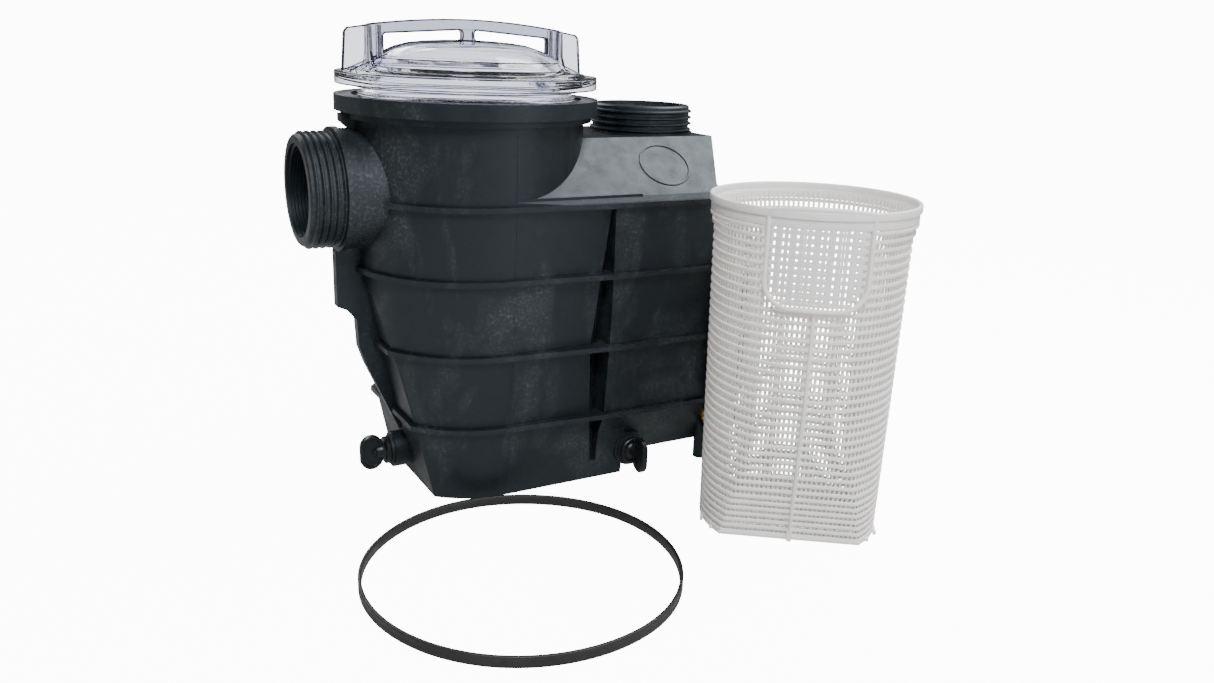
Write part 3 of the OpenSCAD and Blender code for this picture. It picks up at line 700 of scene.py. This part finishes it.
# ------------------------------------------------------------------ moulding details on the housing
# in millimetres
SHOULDER_LOW, SHOULDER_HIGH = Vector((0, 76.5, 203.0)), Vector((0, 41.0, 237.0))
BADGE_X, BADGE_HALF, BADGE_RISE = 119.5, 18.5, 17.0
BADGE_SECTION = [(-0.4, -0.95), (0.4, -0.6), (0.55, 0), (0.4, 0.6), (-0.4, 0.95)]
# outside radius of the pot's side at given heights
POT_SIDE = [(0, 63), (50, 69), (103, 73.5), (153, 76), (204, 77), (247, 77)]
PARTING_SECTION = [(-0.5, -0.35), (0.14, -0.2), (0.14, 0.2), (-0.5, 0.35)]
LIP_LOW, LIP_FOOT, LIP_TOP = 261.6, 261.0, 261.84
# raised lands on the top flange: from radius, to radius, width of the inner and outer slope
FLANGE_LANDS = ((79.5, 84.2, 0.5, 0.6), (75.3, 77.8, 0.3, 0.4))

def shoulder(a, side, off):
    """Point of the badge's oval at angle a, off above the sloping shoulder."""
    slope = SHOULDER_HIGH - SHOULDER_LOW
    normal = Vector((0, slope.z, -slope.y)).normalized()
    t = 0.5 + BADGE_RISE / slope.length * math.sin(a)
    p = SHOULDER_LOW + slope * t + normal * off
    return Vector((BADGE_X + BADGE_HALF * math.cos(a), side * p.y, p.z)) * mm

def badge(name, side):
    """Blank oval ring."""
    path = []
    for i in range(96):
        a = tau * i / 96
        p = shoulder(a, side, 0.12)
        normal = (shoulder(a, side, 1) - shoulder(a, side, 0)).normalized()
        along = (shoulder(a + 0.02, side, 0.12) - p).normalized()
        path.append((p, normal, along.cross(normal)))
    ring = Shells()
    ring.sweep(path, scaled(BADGE_SECTION))
    ring.piece(name, BLACK, "housing", "black_plastic")

def pot_side(z):
    for (z0, r0), (z1, r1) in zip(POT_SIDE, POT_SIDE[1:]):
        if z <= z1:
            return r0 + (r1 - r0) * (z - z0) / (z1 - z0)

def parting_line(name, side):
    """Fine ridge up the side of the pot, where the mould's halves met."""
    path = []
    for i in range(61):
        z = 1 + 244.0 * i / 60
        p = Vector((1.5, side * (pot_side(z) + 0.02), z)) * mm
        path.append((p, Vector((0, side, 0)), Vector((1, 0, 0))))
    ridge = Shells()
    ridge.sweep(path, scaled(PARTING_SECTION), closed=False)
    ridge.piece(name, BLACK, "housing", "black_plastic")

def flange_lip():
    lip = Shells()
    for r0, r1, rise, fall in FLANGE_LANDS:
        lip.lathe(scaled([(r0, LIP_LOW), (r0 + rise, LIP_TOP), (r1 - fall, LIP_TOP), (r1, LIP_LOW),
                          (r1, LIP_FOOT), (r0, LIP_FOOT)]), 192)
    lip.piece("flange_lip", BLACK, "housing", "black_plastic")

for side, hand in ((-1, "left"), (1, "right")):
    badge("badge_" + hand, side)
for side, hand in ((-1, "left"), (1, "right")):
    parting_line("parting_line_" + hand, side)
flange_lip()

# ------------------------------------------------------------------ floor and light
# how bright the backdrop is: looked at, seen through clear plastic, and as a light on the object
SEEN, THROUGH, FLOOR_DIM, WORLD_DIM = 12.0, 2.2, 0.14, 0.16

def backdrop(nt, dim):
    """Strength of a backdrop that is white to look at and dim as a light."""
    path = nt.nodes.new("ShaderNodeLightPath")
    seen = math_node(nt, "MULTIPLY", path.outputs["Is Camera Ray"], SEEN - dim)
    through = math_node(nt, "MULTIPLY", path.outputs["Is Transmission Ray"], THROUGH - dim)
    return math_node(nt, "ADD", math_node(nt, "ADD", seen, through), dim)

def make_floor(half=6):
    me = bpy.data.meshes.new("floor")
    corners = [(-half, -half, 0), (half, -half, 0), (half, half, 0), (-half, half, 0)]
    me.from_pydata(corners, [], [(0, 1, 2, 3)])
    m, nt, b = mat("floor_white")
    b.inputs["Base Color"].default_value = (0.42, 0.42, 0.42, 1)
    b.inputs["Roughness"].default_value = 0.95
    b.inputs["Specular IOR Level"].default_value = 0.05
    b.inputs["Emission Color"].default_value = (1, 1, 1, 1)
    nt.links.new(backdrop(nt, FLOOR_DIM), b.inputs["Emission Strength"])
    me.materials.append(m)
    floor = bpy.data.objects.new("floor", me)
    scene.collection.objects.link(floor)

def make_world():
    world = bpy.data.worlds.new("studio")
    scene.world = world
    world.use_nodes = True
    nt = world.node_tree
    background = nt.nodes["Background"]
    background.inputs["Color"].default_value = (1, 1, 1, 1)
    nt.links.new(backdrop(nt, WORLD_DIM), background.inputs["Strength"])

def area(name, loc, target, width, height, power):
    light = bpy.data.lights.new(name, "AREA")
    light.shape = "RECTANGLE"
    light.size, light.size_y = width, height
    light.energy = power
    o = bpy.data.objects.new(name, light)
    o.location = loc
    o.rotation_euler = (Vector(target) - Vector(loc)).to_track_quat("-Z", "Y").to_euler()
    scene.collection.objects.link(o)

make_floor()
make_world()
area("over_rear", (0.85, -0.05, 1.25), (0.08, 0, 0.2), 0.9, 0.9, 23)
area("front_right", (0.75, -1.55, 0.75), (0.05, -0.05, 0.12), 0.9, 0.9, 10)
area("front_high", (-0.7, -1.5, 2.0), (0.10, -0.10, 0.12), 0.8, 0.8, 62)
area("behind", (-0.2, 1.4, 1.1), (0.08, 0, 0.15), 0.9, 0.7, 12)
